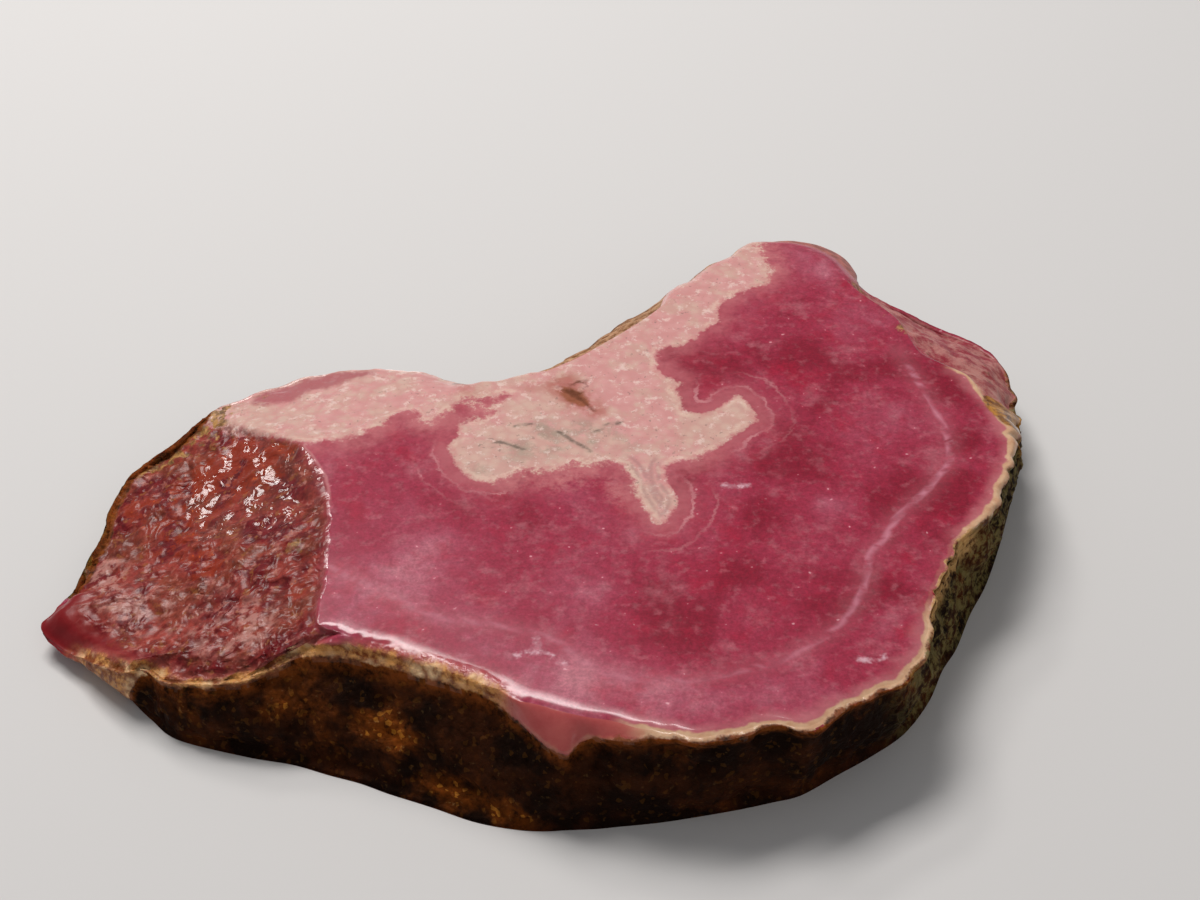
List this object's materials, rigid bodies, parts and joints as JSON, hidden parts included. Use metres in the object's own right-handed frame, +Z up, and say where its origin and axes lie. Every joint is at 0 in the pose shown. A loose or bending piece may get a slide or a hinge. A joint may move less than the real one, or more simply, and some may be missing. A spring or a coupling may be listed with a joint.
{
  "type": "rhodochrosite slice",
  "caption": "Flat slice of pink banded rhodochrosite with a polished face, a pale centre, a brown rind and a broken slope to a pointed tip. It lies loose on a surface.",
  "frame": {"origin": "under the middle of the bounding box, on the plane of the sawn underside", "axes": "+Z up out of the polished face, +X along the long side away from the pointed tip, +Y towards the waisted rear side"},
  "size_m": [0.0728, 0.0584, 0.008],
  "materials": {
    "rhodochrosite": "polished face, glossy broken slope, rough brown rind, matte sawn underside"
  },
  "bodies": {
    "root": {"rhodochrosite_slice": "rhodochrosite"}
  },
  "joints": []
}
